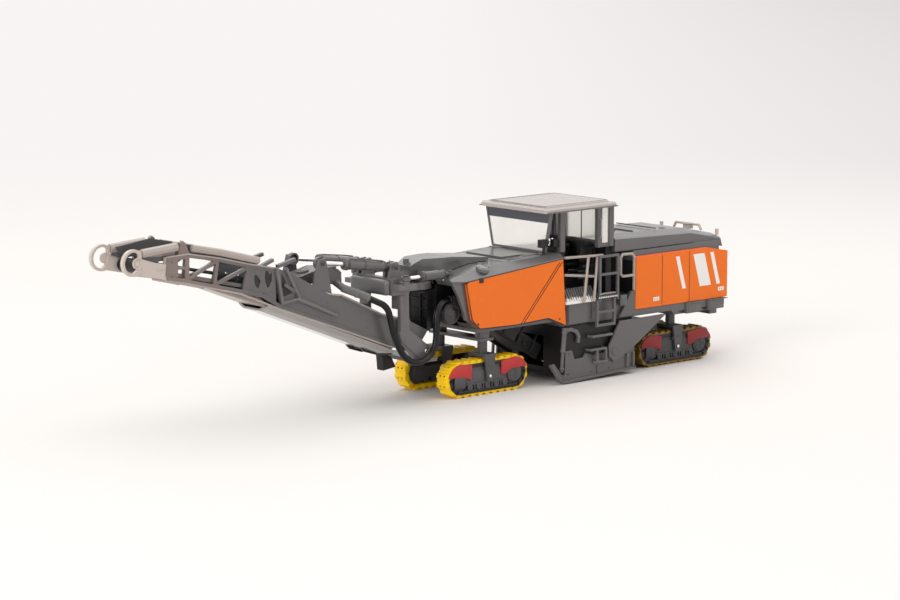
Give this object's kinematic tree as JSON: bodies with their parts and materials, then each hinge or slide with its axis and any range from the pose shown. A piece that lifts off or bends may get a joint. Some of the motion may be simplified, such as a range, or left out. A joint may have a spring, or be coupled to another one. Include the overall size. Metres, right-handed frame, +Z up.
{
  "type": "scale model cold planer milling machine",
  "caption": "Miniature cold planer on steered crawler tracks, with a toothed milling drum, open cab, side ladders and a slewing, lifting discharge conveyor.",
  "frame": {"origin": "on the floor plane under the tracks, at the middle of the overall length and width", "axes": "+X forward to the discharge conveyor's tip, +Y to the machine's left side, +Z up"},
  "size_m": [0.1927, 0.0284, 0.0464],
  "materials": {
    "yellow_plastic": "moulded yellow plastic, satin",
    "orange_plastic": "printed orange plastic, satin",
    "grey_plastic": "moulded mid-grey plastic, satin",
    "light_grey_plastic": "moulded warm light-grey plastic, satin",
    "dark_plastic": "moulded near-black plastic, satin",
    "red_plastic": "moulded dark-red plastic, satin",
    "silver_print": "plastic with a silver print, gloss",
    "chromed_plastic": "bright metallic coat",
    "black_hose": "soft black tube, satin",
    "clear_glazing": "clear plastic glazing, gloss"
  },
  "bodies": {
    "chassis": {"main_frame": "grey_plastic", "drum_housing": "grey_plastic", "side_plates": "grey_plastic", "plate_cylinders": "grey_plastic", "inner_conveyor": "dark_plastic", "nose_hood": "grey_plastic", "nose_panels": "orange_plastic", "feed_head": "grey_plastic", "transfer_chute": "grey_plastic", "feed_fans": "dark_plastic", "platform": "grey_plastic", "cab_console": "dark_plastic", "cab_seats": "dark_plastic", "canopy_roof": "grey_plastic", "cab_pillars": "dark_plastic", "cab_windows": "clear_glazing", "engine_block": "dark_plastic", "tail_box": "orange_plastic", "engine_hood": "grey_plastic", "quarter_panels": "grey_plastic", "carrier_arms": "light_grey_plastic", "tail_bow": "light_grey_plastic", "railings": "light_grey_plastic", "ladders": "grey_plastic", "gratings": "silver_print"},
    "drum": {"milling_drum": "dark_plastic"},
    "track_front_left": {"track_belt_front_left": "yellow_plastic", "track_frame_front_left": "grey_plastic", "track_guards_front_left": "red_plastic", "track_fork_front_left": "dark_plastic"},
    "track_front_right": {"track_belt_front_right": "yellow_plastic", "track_frame_front_right": "grey_plastic", "track_guards_front_right": "red_plastic", "track_fork_front_right": "dark_plastic"},
    "track_rear_left": {"track_belt_rear_left": "yellow_plastic", "track_frame_rear_left": "grey_plastic", "track_guards_rear_left": "red_plastic", "track_fork_rear_left": "dark_plastic"},
    "track_rear_right": {"track_belt_rear_right": "yellow_plastic", "track_frame_rear_right": "grey_plastic", "track_guards_rear_right": "red_plastic", "track_fork_rear_right": "dark_plastic"},
    "swing": {"slew_bracket": "grey_plastic", "hose_rear": "black_hose", "hose_front": "black_hose"},
    "conveyor": {"conveyor_frame": "grey_plastic", "conveyor_belt": "black_hose", "head_drum": "light_grey_plastic", "conveyor_trough": "dark_plastic", "fan_cover": "grey_plastic", "belt_cover": "light_grey_plastic"},
    "lift_barrel_left": {"lift_barrel_left": "light_grey_plastic"},
    "lift_rod_left": {"lift_rod_left": "chromed_plastic"},
    "lift_barrel_right": {"lift_barrel_right": "light_grey_plastic"},
    "lift_rod_right": {"lift_rod_right": "chromed_plastic"},
    "slew_barrel_left": {"slew_barrel_left": "light_grey_plastic"},
    "slew_rod_left": {"slew_rod_left": "chromed_plastic"},
    "slew_barrel_right": {"slew_barrel_right": "light_grey_plastic"},
    "slew_rod_right": {"slew_rod_right": "chromed_plastic"}
  },
  "joints": [
    {"name": "drum_spin", "type": "hinge", "parent": "chassis", "child": "drum", "pos_m": [-0.0486, 0, 0.007], "axis": [0, 1, 0], "continuous": true},
    {"name": "steer_front_left", "type": "hinge", "parent": "chassis", "child": "track_front_left", "pos_m": [-0.0123, 0.00793, 0.0105], "axis": [0, 0, 1], "range_deg": [-15, 15]},
    {"name": "steer_front_right", "type": "hinge", "parent": "chassis", "child": "track_front_right", "pos_m": [-0.0123, -0.00793, 0.0105], "axis": [0, 0, 1], "range_deg": [-15, 15]},
    {"name": "steer_rear_left", "type": "hinge", "parent": "chassis", "child": "track_rear_left", "pos_m": [-0.0795, 0.00793, 0.0105], "axis": [0, 0, 1], "range_deg": [-10, 10]},
    {"name": "steer_rear_right", "type": "hinge", "parent": "chassis", "child": "track_rear_right", "pos_m": [-0.0795, -0.00793, 0.0105], "axis": [0, 0, 1], "range_deg": [-10, 10]},
    {"name": "slew", "type": "hinge", "parent": "chassis", "child": "swing", "pos_m": [0.004, 0, 0.0274], "axis": [0, 0, 1], "range_deg": [-18, 18], "deforming": ["hose_rear"]},
    {"name": "lift", "type": "hinge", "parent": "swing", "child": "conveyor", "pos_m": [0.0062, 0, 0.0127], "axis": [0, -1, 0], "range_deg": [-10, 8], "deforming": ["hose_front"]},
    {"name": "lift_barrel_tilt_left", "type": "hinge", "parent": "swing", "child": "lift_barrel_left", "pos_m": [0.0152, 0.0049, 0.0342], "axis": [0, -1, 0], "range_deg": [-15, 12]},
    {"name": "lift_rod_slide_left", "type": "slide", "parent": "lift_barrel_left", "child": "lift_rod_left", "axis": [0.9913, 0, 0.1316], "range_m": [-0.0028, 0.0035]},
    {"name": "lift_barrel_tilt_right", "type": "hinge", "parent": "swing", "child": "lift_barrel_right", "pos_m": [0.0152, -0.0049, 0.0342], "axis": [0, -1, 0], "range_deg": [-15, 12]},
    {"name": "lift_rod_slide_right", "type": "slide", "parent": "lift_barrel_right", "child": "lift_rod_right", "axis": [0.9913, 0, 0.1316], "range_m": [-0.0028, 0.0035]},
    {"name": "slew_barrel_turn_left", "type": "hinge", "parent": "chassis", "child": "slew_barrel_left", "pos_m": [-0.0002, 0.0094, 0.0316], "axis": [0, 0, 1], "range_deg": [-12.8, 12.8]},
    {"name": "slew_rod_slide_left", "type": "slide", "parent": "slew_barrel_left", "child": "slew_rod_left", "axis": [1, 0, 0], "range_m": [-0.003, 0.003]},
    {"name": "slew_barrel_turn_right", "type": "hinge", "parent": "chassis", "child": "slew_barrel_right", "pos_m": [-0.0002, -0.0094, 0.0316], "axis": [0, 0, 1], "range_deg": [-12.8, 12.8]},
    {"name": "slew_rod_slide_right", "type": "slide", "parent": "slew_barrel_right", "child": "slew_rod_right", "axis": [1, 0, 0], "range_m": [-0.003, 0.003]}
  ],
  "couplings": [
    {"joint": "lift_barrel_tilt_left", "follows": "lift", "ratio": 1.476},
    {"joint": "lift_rod_slide_left", "follows": "lift", "m_per_rad": -0.02},
    {"joint": "lift_barrel_tilt_right", "follows": "lift", "ratio": 1.476},
    {"joint": "lift_rod_slide_right", "follows": "lift", "m_per_rad": -0.02},
    {"joint": "slew_barrel_turn_left", "follows": "slew", "ratio": 0.706},
    {"joint": "slew_rod_slide_left", "follows": "slew", "m_per_rad": -0.0094},
    {"joint": "slew_barrel_turn_right", "follows": "slew", "ratio": 0.706},
    {"joint": "slew_rod_slide_right", "follows": "slew", "m_per_rad": 0.0094}
  ]
}
